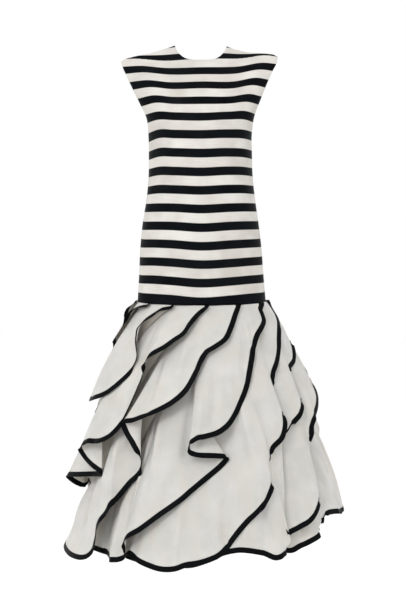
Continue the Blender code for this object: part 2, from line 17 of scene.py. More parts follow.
import bmesh
import bpy
import numpy as np
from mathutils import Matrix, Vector

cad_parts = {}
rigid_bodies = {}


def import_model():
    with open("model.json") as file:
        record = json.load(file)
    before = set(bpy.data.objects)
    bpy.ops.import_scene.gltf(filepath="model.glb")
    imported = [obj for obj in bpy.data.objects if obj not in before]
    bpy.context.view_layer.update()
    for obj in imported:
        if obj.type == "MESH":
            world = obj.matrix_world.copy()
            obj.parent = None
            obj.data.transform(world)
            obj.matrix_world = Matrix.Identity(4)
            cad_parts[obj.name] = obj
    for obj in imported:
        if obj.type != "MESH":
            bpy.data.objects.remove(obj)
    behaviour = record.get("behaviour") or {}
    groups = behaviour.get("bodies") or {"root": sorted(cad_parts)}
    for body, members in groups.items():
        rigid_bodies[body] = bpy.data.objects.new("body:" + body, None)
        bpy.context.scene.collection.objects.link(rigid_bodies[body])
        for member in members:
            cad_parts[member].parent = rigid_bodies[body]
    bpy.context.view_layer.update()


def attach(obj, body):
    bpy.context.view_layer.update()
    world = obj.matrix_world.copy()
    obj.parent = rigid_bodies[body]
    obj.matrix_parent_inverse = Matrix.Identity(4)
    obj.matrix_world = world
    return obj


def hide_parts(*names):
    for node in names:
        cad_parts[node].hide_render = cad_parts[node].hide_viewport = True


LOG = logging.getLogger("gown")
MM = 0.001

PHOTO_HEIGHT = 606
WAIST_LEVEL = -697.0

MERGE_REACH = 0.01 * MM
SHORTEST_CHORD = 1e-7
TINY = 1e-12

# A Mix node's colour sockets go by number, because its sockets share their names
MIX_A, MIX_B, MIXED = 6, 7, 2


class Slot(Enum):
    """The record's material slots."""

    STRIPED_SATIN = "striped_satin"
    ORGANZA = "ivory_organza"
    BINDING = "black_binding"
    PLAIN = "plain_ivory"


def linear(colour: str) -> tuple[float, float, float, float]:
    """Turn an sRGB hex colour into a linear one.

    Args:
        colour: The colour as six hex digits.

    Returns:
        Red, green, blue and an alpha of 1, linear.
    """
    parts = [int(colour[k : k + 2], 16) / 255.0 for k in (0, 2, 4)]
    turned = [c / 12.92 if c <= 0.04045 else ((c + 0.055) / 1.055) ** 2.4 for c in parts]
    return (*turned, 1.0)


def add_node(
    tree: bpy.types.NodeTree, kind: str, settings: dict | None = None, links: dict | None = None
) -> bpy.types.Node:
    """Add a node with its settings, socket values and links.

    Args:
        tree: The material's node tree.
        kind: The node's type name.
        settings: Attribute values by name, and socket values by socket name or number.
        links: The output that feeds each input, by socket name or number.

    Returns:
        The new node.
    """
    node = tree.nodes.new(kind)
    for name, value in (settings or {}).items():
        if isinstance(name, str) and hasattr(node, name):
            setattr(node, name, value)
        else:
            node.inputs[name].default_value = value
    for name, output in (links or {}).items():
        tree.links.new(output, node.inputs[name])
    return node


def new_material(name: str) -> tuple[bpy.types.Material, bpy.types.NodeTree, bpy.types.Node]:
    """Make an empty Principled material.

    Args:
        name: The finish's name.

    Returns:
        The material, its node tree and its shader.
    """
    material = bpy.data.materials.new(name)
    material.use_nodes = True
    tree = material.node_tree
    return material, tree, tree.nodes["Principled BSDF"]


@dataclass(frozen=True)
class StripedSatin:
    """Yarn-dyed satin in even cross stripes: a soft low sheen and fine slubs that run across the cloth. Its colour
    holds painted shade on the ivory and painted sheen on the black, laid along the slubs and broad clouds.
    """

    ivory: str = "D1CEC9"
    # The ivory's painted shade, which the slub and cloud noise mix into the ivory stripes
    shaded_ivory: str = "BBB6AF"
    black: str = "05070A"
    # A lighter black: painted sheen, which the slub and cloud noise mix into the black stripes
    sheen_black: str = "0E1114"
    black_share: float = 0.475
    edge: float = 0.025
    slub_height: float = 1.5
    slub_length: float = 50.0
    slub_roughness: float = 0.6
    slub_share: float = 0.45
    slub_relief: float = 0.25
    bump: float = 0.25
    cloud_size: float = 70.0
    shading: tuple[float, float] = (0.5, 0.95)
    roughness: tuple[float, float] = (0.4, 0.55)
    specular: float = 0.03

    def material(self) -> bpy.types.Material:
        """Build the finish.

        Returns:
            The material, which reads the cloth's stripe attribute.
        """
        material, tree, shader = new_material("yarn_dyed_striped_satin")
        stripe = add_node(tree, "ShaderNodeAttribute", {"attribute_name": "stripe"})
        near = add_node(tree, "ShaderNodeMath", {"operation": "ADD", 1: 0.5}, {0: stripe.outputs["Fac"]})
        turn = add_node(tree, "ShaderNodeMath", {"operation": "FRACT"}, {0: near.outputs[0]})
        off = add_node(tree, "ShaderNodeMath", {"operation": "SUBTRACT", 1: 0.5}, {0: turn.outputs[0]})
        away = add_node(tree, "ShaderNodeMath", {"operation": "ABSOLUTE"}, {0: off.outputs[0]})
        half = self.black_share / 2
        dark = add_node(
            tree,
            "ShaderNodeMapRange",
            {"From Min": half - self.edge / 2, "From Max": half + self.edge / 2, "To Min": 1.0, "To Max": 0.0},
            {"Value": away.outputs[0]},
        )
        place = add_node(tree, "ShaderNodeTexCoord")
        long, high = 1 / (self.slub_length * MM), 1 / (self.slub_height * MM)
        laid = add_node(tree, "ShaderNodeMapping", {"Scale": (long, long, high)}, {"Vector": place.outputs["Object"]})
        slub = add_node(
            tree,
            "ShaderNodeTexNoise",
            {"Scale": 1.0, "Detail": 2.0, "Roughness": self.slub_roughness},
            {"Vector": laid.outputs[0]},
        )
        cloud = add_node(
            tree,
            "ShaderNodeTexNoise",
            {"Scale": 1 / (self.cloud_size * MM), "Detail": 2.0},
            {"Vector": place.outputs["Object"]},
        )
        mixed = add_node(
            tree,
            "ShaderNodeMath",
            {"operation": "MULTIPLY_ADD", 1: self.slub_share},
            {0: slub.outputs["Fac"], 2: cloud.outputs["Fac"]},
        )
        tone = add_node(
            tree,
            "ShaderNodeMapRange",
            {"From Min": self.shading[0], "From Max": self.shading[1]},
            {"Value": mixed.outputs[0]},
        )
        # Painted light: the noise darkens the ivory with painted shade and lightens the black with painted sheen
        shades = []
        for pale, deep in ((self.ivory, self.shaded_ivory), (self.black, self.sheen_black)):
            shades.append(
                add_node(
                    tree,
                    "ShaderNodeMix",
                    {"data_type": "RGBA", MIX_A: linear(pale), MIX_B: linear(deep)},
                    {0: tone.outputs[0]},
                )
            )
        colour = add_node(
            tree,
            "ShaderNodeMix",
            {"data_type": "RGBA"},
            {0: dark.outputs[0], MIX_A: shades[0].outputs[MIXED], MIX_B: shades[1].outputs[MIXED]},
        )
        bump = add_node(
            tree,
            "ShaderNodeBump",
            {"Strength": self.bump, "Distance": self.slub_relief * MM},
            {"Height": slub.outputs["Fac"]},
        )
        rough = add_node(
            tree,
            "ShaderNodeMapRange",
            {"To Min": self.roughness[0], "To Max": self.roughness[1]},
            {"Value": slub.outputs["Fac"]},
        )
        tree.links.new(colour.outputs[MIXED], shader.inputs["Base Color"])
        tree.links.new(rough.outputs[0], shader.inputs["Roughness"])
        tree.links.new(bump.outputs[0], shader.inputs["Normal"])
        shader.inputs["Specular IOR Level"].default_value = self.specular
        return material


@dataclass(frozen=True)
class CrispOrganza:
    """Crisp silk organza in layers: milky, with faint broad clouds that are partly its own uneven tone and partly
    painted shade, and soft beige streaks down the cloth that are partly its own tone and partly painted shade of soft
    folds.

    Some light passes through it, so that hidden folds stay pale. Its weave, really a tenth of a
    millimetre, is drawn as coarse as it needs to show.
    """

    ivory: str = "D1D0CD"
    # A shaded tone: painted shade that broad clouds mix into the ivory
    shade: str = "B3B2AD"
    # Beige of the streaks: partly the cloth's own tone, partly painted shade of soft folds
    beige: str = "C7C0B7"
    cloud_size: float = 60.0
    cloud_roughness: float = 0.55
    streak_width: float = 34.0
    streak_length: float = 210.0
    streak_range: tuple[float, float] = (0.45, 0.75)
    streak_depth: float = 0.5
    thread: float = 1.1
    thread_relief: float = 0.1
    bump: float = 0.2
    roughness: float = 0.55
    specular: float = 0.25
    sheerness: float = 0.6
    light_reach: float = 2.0
    light_spread: tuple[float, float, float] = (1.0, 0.95, 0.88)

    def material(self) -> bpy.types.Material:
        """Build the finish.

        Returns:
            The material, whose weave follows the cloth attribute.
        """
        material, tree, shader = new_material("crisp_silk_organza")
        cloth = add_node(tree, "ShaderNodeAttribute", {"attribute_name": "cloth"})
        place = add_node(tree, "ShaderNodeTexCoord")
        cloud = add_node(
            tree,
            "ShaderNodeTexNoise",
            {"Scale": 1 / (self.cloud_size * MM), "Detail": 3.0, "Roughness": self.cloud_roughness},
            {"Vector": place.outputs["Object"]},
        )
        # Broad clouds towards the shaded tone: partly the cloth's uneven tone, partly painted shade
        mottled = add_node(
            tree,
            "ShaderNodeMix",
            {"data_type": "RGBA", MIX_A: linear(self.ivory), MIX_B: linear(self.shade)},
            {0: cloud.outputs["Fac"]},
        )
        # Streaks down the cloth towards beige: partly its own tone, partly painted shade of soft vertical folds
        across, down = 1 / (self.streak_width * MM), 1 / (self.streak_length * MM)
        laid = add_node(
            tree, "ShaderNodeMapping", {"Scale": (across, across, down)}, {"Vector": place.outputs["Object"]}
        )
        streak = add_node(tree, "ShaderNodeTexNoise", {"Scale": 1.0, "Detail": 1.0}, {"Vector": laid.outputs[0]})
        share = add_node(
            tree,
            "ShaderNodeMapRange",
            {"From Min": self.streak_range[0], "From Max": self.streak_range[1], "To Max": self.streak_depth},
            {"Value": streak.outputs["Fac"]},
        )
        colour = add_node(
            tree,
            "ShaderNodeMix",
            {"data_type": "RGBA", MIX_B: linear(self.beige)},
            {0: share.outputs[0], MIX_A: mottled.outputs[MIXED]},
        )
        spacing = 2 * math.pi / (self.thread * MM)
        threads = []
        for turn in ((spacing, 0.0, 0.0), (0.0, spacing, 0.0)):
            along = add_node(
                tree, "ShaderNodeVectorMath", {"operation": "DOT_PRODUCT", 1: turn}, {0: cloth.outputs["Vector"]}
            )
            threads.append(add_node(tree, "ShaderNodeMath", {"operation": "SINE"}, {0: along.outputs["Value"]}))
        weave = add_node(
            tree,
            "ShaderNodeMath",
            {"operation": "MULTIPLY"},
            {0: threads[0].outputs[0], 1: threads[1].outputs[0]},
        )
        bump = add_node(
            tree,
            "ShaderNodeBump",
            {"Strength": self.bump, "Distance": self.thread_relief * MM},
            {"Height": weave.outputs[0]},
        )
        tree.links.new(colour.outputs[MIXED], shader.inputs["Base Color"])
        tree.links.new(bump.outputs[0], shader.inputs["Normal"])
        shader.inputs["Roughness"].default_value = self.roughness
        shader.inputs["Specular IOR Level"].default_value = self.specular
        shader.inputs["Subsurface Weight"].default_value = self.sheerness
        shader.inputs["Subsurface Radius"].default_value = self.light_spread
        shader.inputs["Subsurface Scale"].default_value = self.light_reach * MM
        return material


@dataclass(frozen=True)
class SatinBinding:
    """Black bias binding: nearly black, with a low gloss along its rounded edge and a fine slanting rib."""

    black: str = "060708"
    rib_tone: str = "101214"
    rib: float = 1.2
    rib_depth: float = 0.6
    rib_relief: float = 0.1
    bump: float = 0.3
    roughness: float = 0.45
    specular: float = 0.03

    def material(self) -> bpy.types.Material:
        """Build the finish.

        Returns:
            The material, whose rib follows the cloth attribute.
        """
        material, tree, shader = new_material("black_bias_binding")
        cloth = add_node(tree, "ShaderNodeAttribute", {"attribute_name": "cloth"})
        slope = math.sqrt(0.5) * 2 * math.pi / (self.rib * MM)
        slant = add_node(
            tree,
            "ShaderNodeVectorMath",
            {"operation": "DOT_PRODUCT", 1: (slope, slope, 0.0)},
            {0: cloth.outputs["Vector"]},
        )
        rib = add_node(tree, "ShaderNodeMath", {"operation": "SINE"}, {0: slant.outputs["Value"]})
        tone = add_node(
            tree, "ShaderNodeMapRange", {"From Min": -1.0, "To Max": self.rib_depth}, {"Value": rib.outputs[0]}
        )
        colour = add_node(
            tree,
            "ShaderNodeMix",
            {"data_type": "RGBA", MIX_A: linear(self.black), MIX_B: linear(self.rib_tone)},
            {0: tone.outputs[0]},
        )
        bump = add_node(
            tree,
            "ShaderNodeBump",
            {"Strength": self.bump, "Distance": self.rib_relief * MM},
            {"Height": rib.outputs[0]},
        )
        tree.links.new(colour.outputs[MIXED], shader.inputs["Base Color"])
        tree.links.new(bump.outputs[0], shader.inputs["Normal"])
        shader.inputs["Roughness"].default_value = self.roughness
        shader.inputs["Specular IOR Level"].default_value = self.specular
        return material


@dataclass(frozen=True)
class PlainCloth:
    """Plain matt ivory foundation cloth, woven one over one: an even fine grain with no shine."""

    ivory: str = "DDD8CF"
    shade: str = "CDC6BA"
    thread: float = 1.0
    thread_relief: float = 0.1
    bump: float = 0.2
    roughness: float = 0.75

    def material(self) -> bpy.types.Material:
        """Build the finish.

        Returns:
            The material.
        """
        material, tree, shader = new_material("plain_woven_foundation_cloth")
        place = add_node(tree, "ShaderNodeTexCoord")
        grain = add_node(
            tree,
            "ShaderNodeTexNoise",
            {"Scale": 1 / (self.thread * MM), "Detail": 1.0},
            {"Vector": place.outputs["Object"]},
        )
        colour = add_node(
            tree,
            "ShaderNodeMix",
            {"data_type": "RGBA", MIX_A: linear(self.ivory), MIX_B: linear(self.shade)},
            {0: grain.outputs["Fac"]},
        )
        bump = add_node(
            tree,
            "ShaderNodeBump",
            {"Strength": self.bump, "Distance": self.thread_relief * MM},
            {"Height": grain.outputs["Fac"]},
        )
        tree.links.new(colour.outputs[MIXED], shader.inputs["Base Color"])
        tree.links.new(bump.outputs[0], shader.inputs["Normal"])
        shader.inputs["Roughness"].default_value = self.roughness
        return material


def open_side(bm: bmesh.types.BMesh, thickness: float) -> None:
    """Cut a closed wall's rim away, so that its two sides come apart.

    Args:
        bm: The wall, with its doubles merged.
        thickness: The wall's thickness, which only the rim's cross edges have.
    """
    rim = set()
    for edge in bm.edges:
        if abs(edge.calc_length() - thickness) < MERGE_REACH:
            rim.update(edge.link_faces)
    bmesh.ops.delete(bm, geom=list(rim), context="FACES")


def third_corner(face: bmesh.types.BMFace, edge: bmesh.types.BMEdge) -> bmesh.types.BMVert:
    """The corner of a triangle that isn't on an edge."""
    return next(v for v in face.verts if v not in edge.verts)


def border_run(start: bmesh.types.BMVert, edge: bmesh.types.BMEdge) -> list[bmesh.types.BMVert]:
    """Follow a side's border from a corner to the next corner.

    A corner has one or two triangles, and a border point between corners has three.

    Args:
        start: The corner to start at.
        edge: The border edge to leave it by.

    Returns:
        The border's points, both corners included.
    """
    run = [start]
    while True:
        run.append(edge.other_vert(run[-1]))
        if len(run[-1].link_faces) < 3:
            return run
        edge = next(e for e in run[-1].link_edges if e.is_boundary and e is not edge)


def read_side(corner: bmesh.types.BMVert, down: bmesh.types.BMEdge) -> np.ndarray:
    """Read one side of a wall as a grid, column by column from its corner.

    Args:
        corner: The side's corner that two triangles share.
        down: The corner's border edge that runs along the grid's second direction.

    Returns:
        The points, by row and column.
    """
    along = next(e for e in corner.link_edges if e.is_boundary and e is not down)
    line = border_run(corner, along)
    lines = [line]
    used = set()
    for _ in range(len(border_run(corner, down)) - 1):
        ahead = [None] * len(line)
        for i, (a, b) in enumerate(zip(line, line[1:])):
            edge = next(e for e in a.link_edges if e.other_vert(a) is b)
            face = next(f for f in edge.link_faces if f not in used)
            used.add(face)
            ahead[i + 1] = third_corner(face, edge)
            cross = next(e for e in a.link_edges if e.other_vert(a) is ahead[i + 1])
            face = next(f for f in cross.link_faces if f not in used)
            used.add(face)
            ahead[i] = third_corner(face, cross)
        line = ahead
        lines.append(line)
    return np.array([[tuple(v.co) for v in column] for column in lines]).transpose(1, 0, 2)


def wall_points(node: bpy.types.Object, thickness: float, down: Vector) -> np.ndarray:
    """Read a packed wall's middle surface back as a grid.

    Args:
        node: The wall's CAD node.
        thickness: The wall's thickness in metres.
        down: About the way of the grid's second direction at its first corner.

    Returns:
        The middle points, by row and column.
    """
    bm = bmesh.new()
    bm.from_mesh(node.data)
    bmesh.ops.remove_doubles(bm, verts=bm.verts, dist=MERGE_REACH)
    open_side(bm, thickness)
    corners = [v for v in bm.verts if len(v.link_faces) == 2 and len(v.link_edges) == 3]
    first = min(corners, key=lambda v: v.co.dot(down))
    pair = [v for v in corners if (v.co - first.co).length < 2 * thickness]
    sides = []
    for corner in pair:
        ways = [e for e in corner.link_edges if e.is_boundary]
        best = max(ways, key=lambda e: (e.other_vert(corner).co - corner.co).normalized().dot(down))
        sides.append(read_side(corner, best))
    bm.free()
    return (sides[0] + sides[1]) / 2


def curve_between(
    t: np.ndarray | float,
    span: np.ndarray,
    places: tuple[np.ndarray, np.ndarray],
    slopes: tuple[np.ndarray, np.ndarray],
) -> np.ndarray:
    """A smooth curve between two knots.

    Args:
        t: How far along it, from 0 to 1.
        span: The distance between the knots.
        places: The curve's places at the knots.
        slopes: Its slopes there.

    Returns:
        Its places at t.
    """
    return (
        (2 * t**3 - 3 * t**2 + 1) * places[0]
        + (3 * t**2 - 2 * t**3) * places[1]
        + span * ((t**3 - 2 * t**2 + t) * slopes[0] + (t**3 - t**2) * slopes[1])
    )


def smooth_lines(knots: np.ndarray, steps: list[int], breaks: tuple[int, ...] = ()) -> np.ndarray:
    """Run smooth lines through knots along the first axis.

    Args:
        knots: Points by knot and line.
        steps: How many steps each interval between knots is cut into.
        breaks: Knots where the lines may turn a corner.

    Returns:
        The finer points.
    """
    chord = np.maximum(np.linalg.norm(np.diff(knots, axis=0), axis=2), SHORTEST_CHORD)[..., None]
    slope = np.diff(knots, axis=0) / chord
    before = np.concatenate([slope[:1], slope])
    after = np.concatenate([slope, slope[-1:]])
    near = np.concatenate([chord[:1], chord])
    far = np.concatenate([chord, chord[-1:]])
    tangent = (before * far + after * near) / (near + far)
    fine = []
    for k, count in enumerate(steps):
        start = slope[k] if k in breaks else tangent[k]
        end = slope[k] if k + 1 in breaks else tangent[k + 1]
        for step in range(count):
            fine.append(curve_between(step / count, chord[k], (knots[k], knots[k + 1]), (start, end)))
    fine.append(knots[-1])
    return np.array(fine)


def ease(value: np.ndarray) -> np.ndarray:
    """A soft step from 0 to 1 as the value goes from 0 to 1."""
    t = np.clip(value, 0, 1)
    return t * t * (3 - 2 * t)


def in_spans(places: np.ndarray, spans: tuple[tuple[float, float], ...], ramp: float) -> np.ndarray:
    """How far places lie in any of some spans.

    Args:
        places: The places.
        spans: Each span's start and end.
        ramp: Over what length each span starts and ends.

    Returns:
        1 in a span, 0 far from all, and a soft step between.
    """
    weight = np.zeros(len(places))
    for start, end in spans:
        weight = np.maximum(weight, ease((places - start + ramp) / ramp) * ease((end + ramp - places) / ramp))
    return weight


def surface_normals(points: np.ndarray) -> np.ndarray:
    """Unit normals of a grid of points."""
    normal = np.cross(np.gradient(points, axis=0), np.gradient(points, axis=1))
    return normal / np.maximum(np.linalg.norm(normal, axis=2, keepdims=True), TINY)


@dataclass(frozen=True)
class Crease:
    """A soft ridge, or a trough where its height is below 0, between two places on the gown.

    A place is a turn in degrees from the middle of the front towards the viewer's right, and a drop below
    the waist seam.
    """

    top_turn: float
    top_drop: float
    bottom_turn: float
    bottom_drop: float
    width: float
    height: float
    fade_in: float = 0.35
    fade_out: float = 0.2

    def lift(self, points: np.ndarray) -> np.ndarray:
        """How far the crease lifts each point.

        Args:
            points: A grid of points in metres.

        Returns:
            The lift in metres.
        """
        turn = np.degrees(np.arctan2(points[..., 0], -points[..., 1]))
        share = (WAIST_LEVEL - points[..., 2] / MM - self.top_drop) / (self.bottom_drop - self.top_drop)
        middle = self.top_turn + (self.bottom_turn - self.top_turn) * share
        away = np.radians((turn - middle + 180) % 360 - 180) * np.hypot(points[..., 0], points[..., 1])
        across = np.exp(-((away / (self.width * MM)) ** 2))
        return self.height * MM * across * ease(share / self.fade_in) * ease((1 - share) / self.fade_out)


@dataclass
class Cloth:
    """A cloth as a fine grid of points: each row runs from the seam to the free edge."""

    points: np.ndarray
    hem_columns: ClassVar[int] = 8
    hem_share: ClassVar[float] = 0.4
    dense_steps: ClassVar[int] = 10

    @classmethod
    def from_wall(
        cls,
        node: str,
        wall: float,
        down: Vector,
        steps: tuple[float, float],
        hem: float,
        breaks: tuple[int, ...] = (),
    ) -> "Cloth":
        """Read a packed wall and make it fine.

        Args:
            node: The CAD node's name.
            wall: Its thickness.
            down: About the way of the grid's second direction.
            steps: The fine grid's steps along the edge and down to it.
            hem: How much of each row's end gets closer columns.
            breaks: Rows at which the edge turns a corner.

        Returns:
            The fine cloth.
        """
        knots = wall_points(bpy.data.objects[node], wall * MM, down)
        chord = np.linalg.norm(np.diff(knots, axis=0), axis=2).max(axis=1)
        rows = smooth_lines(knots, [max(1, math.ceil(c / (steps[0] * MM))) for c in chord], breaks)
        dense = smooth_lines(rows.transpose(1, 0, 2), [cls.dense_steps] * (rows.shape[1] - 1)).transpose(1, 0, 2)
        fall = np.cumsum(np.linalg.norm(np.diff(dense, axis=1, prepend=dense[:, :1]), axis=2), axis=1)
        count = math.ceil(fall[:, -1].max() / (steps[1] * MM))
        points = np.zeros((len(dense), count + cls.hem_columns + 1, 3))
        for row, (line, length) in enumerate(zip(dense, fall)):
            end = length[-1]
            turn = end - min(hem * MM, cls.hem_share * end)
            fall_places, hem_places = np.linspace(0, turn, count + 1), np.linspace(turn, end, cls.hem_columns + 1)
            places = np.concatenate([fall_places, hem_places[1:]])
            for axis in range(3):
                points[row, :, axis] = np.interp(places, length, line[:, axis])
        return cls(points)

    def lengths(self) -> tuple[np.ndarray, np.ndarray]:
        """Distances over the cloth in metres.

        Returns:
            Each row's distance from the start along the free edge, and each point's from the seam.
        """
        hem = np.linalg.norm(np.diff(self.points[:, -1], axis=0, prepend=self.points[:1, -1]), axis=1)
        falls = np.linalg.norm(np.diff(self.points, axis=1, prepend=self.points[:, :1]), axis=2)
        return np.cumsum(hem), np.cumsum(falls, axis=1)

    def outward(self) -> np.ndarray:
        """Unit normals that point out of the gown."""
        normals = surface_normals(self.points)
        out = (normals[..., :2] * self.points[..., :2]).sum()
        return normals if out > 0 else -normals

    def crease(self, creases: tuple[Crease, ...]) -> None:
        """Lift the points along their normals by the creases."""
        lift = sum((crease.lift(self.points) for crease in creases), np.zeros(self.points.shape[:2]))
        self.points = self.points + self.outward() * lift[..., None]

    def turn_under(self, spans: tuple[tuple[float, float], ...], radius: float, ramp: float) -> None:
        """Roll the free edge under, towards the inside.

        Args:
            spans: Where it is rolled, from and to along the free edge.
            radius: The roll's radius.
            ramp: Over what length each roll starts and ends.
        """
        weight = in_spans(self.lengths()[0] / MM, spans, ramp)
        first = self.points.shape[1] - 1 - self.hem_columns
        way = np.diff(self.points, axis=1)[:, first:]
        length = np.linalg.norm(way, axis=2, keepdims=True)
        way = way / np.maximum(length, TINY)
        inside = -self.outward()[:, first:-1]
        inside = inside - way * (inside * way).sum(axis=2, keepdims=True)
        inside /= np.maximum(np.linalg.norm(inside, axis=2, keepdims=True), TINY)
        gone = np.cumsum(length, axis=1) - length / 2
        angle = weight[:, None, None] * np.minimum(gone / (radius * MM), math.pi)
        move = np.cumsum(length * (way * np.cos(angle) + inside * np.sin(angle)), axis=1)
        self.points[:, first + 1 :] = self.points[:, first : first + 1] + move

    def make(self, name: str, thickness: float) -> bpy.types.Object:
        """Turn the points into a mesh, and into a thin shell where it has a thickness.

        Args:
            name: The object's name.
            thickness: The shell's thickness, or 0 for a bare surface.

        Returns:
            The object, at the origin.
        """
        rows, columns = self.points.shape[:2]
        bm = bmesh.new()
        bmesh.ops.create_grid(bm, x_segments=rows - 1, y_segments=columns - 1, size=0.5)
        for vert in bm.verts:
            i = round((vert.co.x + 0.5) * (rows - 1))
            j = round((vert.co.y + 0.5) * (columns - 1))
            vert.co = self.points[i, j]
            vert.index = i * columns + j
        bm.verts.sort()
        if (surface_normals(self.points) * self.outward()).sum() < 0:
            bmesh.ops.reverse_faces(bm, faces=bm.faces)
        for face in bm.faces:
            face.smooth = True
        mesh = bpy.data.meshes.new(name)
        bm.to_mesh(mesh)
        bm.free()
        along, down = self.lengths()
        laid = np.zeros((rows, columns, 3))
        laid[..., 0] = along[:, None]
        laid[..., 1] = down
        mesh.attributes.new("cloth", "FLOAT_VECTOR", "POINT").data.foreach_set("vector", laid.ravel())
        thing = bpy.data.objects.new(name, mesh)
        bpy.context.scene.collection.objects.link(thing)
        if thickness > 0:
            shell = thing.modifiers.new("shell", "SOLIDIFY")
            shell.thickness = thickness * MM
            shell.offset = 0.0
        return thing


def dress(thing: bpy.types.Object, finish: bpy.types.Material, slot: Slot, *nodes: str) -> bpy.types.Object:
    """Give a piece its finish and the body that it rides on, and hide the CAD nodes that it replaces.

    Args:
        thing: The piece.
        finish: Its material.
        slot: The record's slot. Not used.
        nodes: The CAD nodes that it replaces.

    Returns:
        The piece.
    """
    thing.data.materials.append(finish)
    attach(thing, "root")
    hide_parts(*nodes)
    LOG.info("%s: %d faces", thing.name, len(thing.data.polygons))
    return thing


# Where the stripes lie. The first column is a place in the repeat: 0 is the middle of the waist's black
# band, 1 of the next one up, and .23 and .77 are a black band's edges. Then its level at each share of the
# half width below: the left edge, crest and half, the centre, and the right half, crest and edge.
STRIPES = (
    (-0.2, -700, -700, -700, -700, -700, -700, -700),
    (0.0, -682, -681, -681, -687, -682, -680, -681),
    (1.0, -635, -632, -633, -638, -634, -632, -633),
    (2.0, -587, -584, -584, -589, -586, -584, -585),
    (3.0, -538, -536, -536, -541, -537, -536, -537),
    (4.0, -491, -489, -488, -492, -488, -488, -490),
    (5.0, -443, -441, -440, -443, -440, -440, -442),
    (6.0, -397, -392, -392, -394, -391, -392, -396),
    (7.0, -350, -344, -344, -346, -343, -344, -348),
    (8.0, -304, -295, -295, -297, -295, -297, -303),
    (9.0, -256, -246, -247, -248, -246, -247, -253),
    (10.0, -204, -198, -200, -202, -198, -197, -205),
    (11.0, -163, -155, -159, -159, -158, -152, -159),
    (12.0, -118, -114, -120, -118, -118, -108, -115),
    (13.0, -76, -74, -81, -81, -78, -66, -69),
    (13.77, -45, -45, -52, -46, -45, -36, -41),
    (14.23, -41, -37, -36, -30, -33, -32, -38),
    (14.77, -20, -24, -19, -8, -20, -22, -20),
    (15.0, 20, 16, 14, 12, 14, 16, 20),
)
STRIPE_SHARES = (-1.0, -0.8, -0.5, 0.0, 0.5, 0.8, 1.0)

# The bodice's soft vertical hollows and ridges, front and back, which lie above the waist seam
BODICE_CREASES = (
    Crease(-38, -520, -30, -60, 26, 1.6),
    Crease(32, -480, 36, -40, 22, -1.4),
    Crease(62, -420, 58, -20, 18, 1.2),
    Crease(-66, -460, -60, -70, 16, -1.3),
    Crease(-6, -400, -2, -10, 24, -0.9),
    Crease(-52, -640, -34, -560, 9, -1.2),
    Crease(50, -640, 36, -560, 9, -1.3),
    Crease(148, -520, 154, -40, 24, 1.5),
    Crease(-150, -470, -146, -80, 22, -1.6),
    Crease(-168, -420, -164, -30, 18, 1.1),
    Crease(116, -500, 120, -90, 20, -1.3),
    Crease(-118, -540, -124, -60, 20, 1.4),
)


@dataclass(frozen=True)
class Bodice:
    """The straight bodice: a front in one panel and a back in two."""

    wall: float = 1.0
    shell: float = 0.9
    steps: tuple[float, float] = (4.0, 6.0)
    hem: float = 12.0
    front_cut: tuple[float, float, float] = (0.46, 0.72, 0.27)
    back_cut: tuple[float, float, float] = (0.24, 0.70, 0.13)
    tuck: float = 0.7
    tuck_reach: float = 4.0
    corner: tuple[float, float, float] = (0.2, 0.0, 1.0)
    front_breaks: tuple[int, ...] = (8, 18)
    left_breaks: tuple[int, ...] = (8,)
    right_breaks: tuple[int, ...] = (5,)

    def stripe_places(self, shares: np.ndarray, levels: np.ndarray) -> np.ndarray:
        """Which place of the stripes' repeat each point lies at.

        Args:
            shares: Each point's share of the half width, below 0 on the left.
            levels: Each point's level in millimetres.

        Returns:
            The places: a whole number in the middle of each black stripe.
        """
        table = np.array(STRIPES, dtype=float)
        rows, known = table[:, 0], table[:, 1:]
        knots = np.array(STRIPE_SHARES)
        slopes = np.gradient(known, knots, axis=1)
        cell = np.clip(np.searchsorted(knots, shares) - 1, 0, len(knots) - 2)
        wide = knots[cell + 1] - knots[cell]
        t = (shares - knots[cell]) / wide
        heights = curve_between(t, wide, (known[:, cell], known[:, cell + 1]), (slopes[:, cell], slopes[:, cell + 1]))
        return np.array([np.interp(level, heights[:, k], rows) for k, level in enumerate(levels)])

    def stripe(self, cloth: Cloth, thing: bpy.types.Object) -> None:
        """Write the stripe attribute on a panel."""
        points = cloth.points
        half = np.abs(points[..., 0]).max(axis=0, keepdims=True)
        shares = (points[..., 0] / half).ravel()
        places = self.stripe_places(shares, points[..., 2].ravel() / MM)
        thing.data.attributes.new("stripe", "FLOAT", "POINT").data.foreach_set("value", places)

    def panel(self, name: str, breaks: tuple[int, ...], finish: bpy.types.Material) -> bpy.types.Object:
        """Build one panel.

        Args:
            name: The CAD node that it stands for.
            breaks: Rows where the neckline meets the shoulder.
            finish: The satin.

        Returns:
            The panel.
        """
        cloth = Cloth.from_wall(name, self.wall, Vector(self.corner), self.steps, self.hem, breaks)
        across = np.linalg.norm(np.diff(cloth.points, axis=0, prepend=cloth.points[:1]), axis=2)
        far = np.cumsum(across, axis=0)
        edge = np.minimum(far, far[-1:] - far) / MM
        cloth.crease(BODICE_CREASES)
        cloth.points = cloth.points - cloth.outward() * (self.tuck * MM * ease(1 - edge / self.tuck_reach))[..., None]
        thing = cloth.make(f"{name}_satin", self.shell)
        self.stripe(cloth, thing)
        return dress(thing, finish, Slot.STRIPED_SATIN, name)

    def build(self, finish: bpy.types.Material) -> None:
        """Build the three panels."""
        panels = (
            ("bodice_front", self.front_breaks, self.front_cut, ["bodice_back_left", "bodice_back_right"]),
            ("bodice_back_left", self.left_breaks, self.back_cut, ["bodice_front"]),
            ("bodice_back_right", self.right_breaks, self.back_cut, ["bodice_front"]),
        )
        for name, breaks, (wide, long, area), neighbours in panels:
            panel = self.panel(name, breaks, finish)


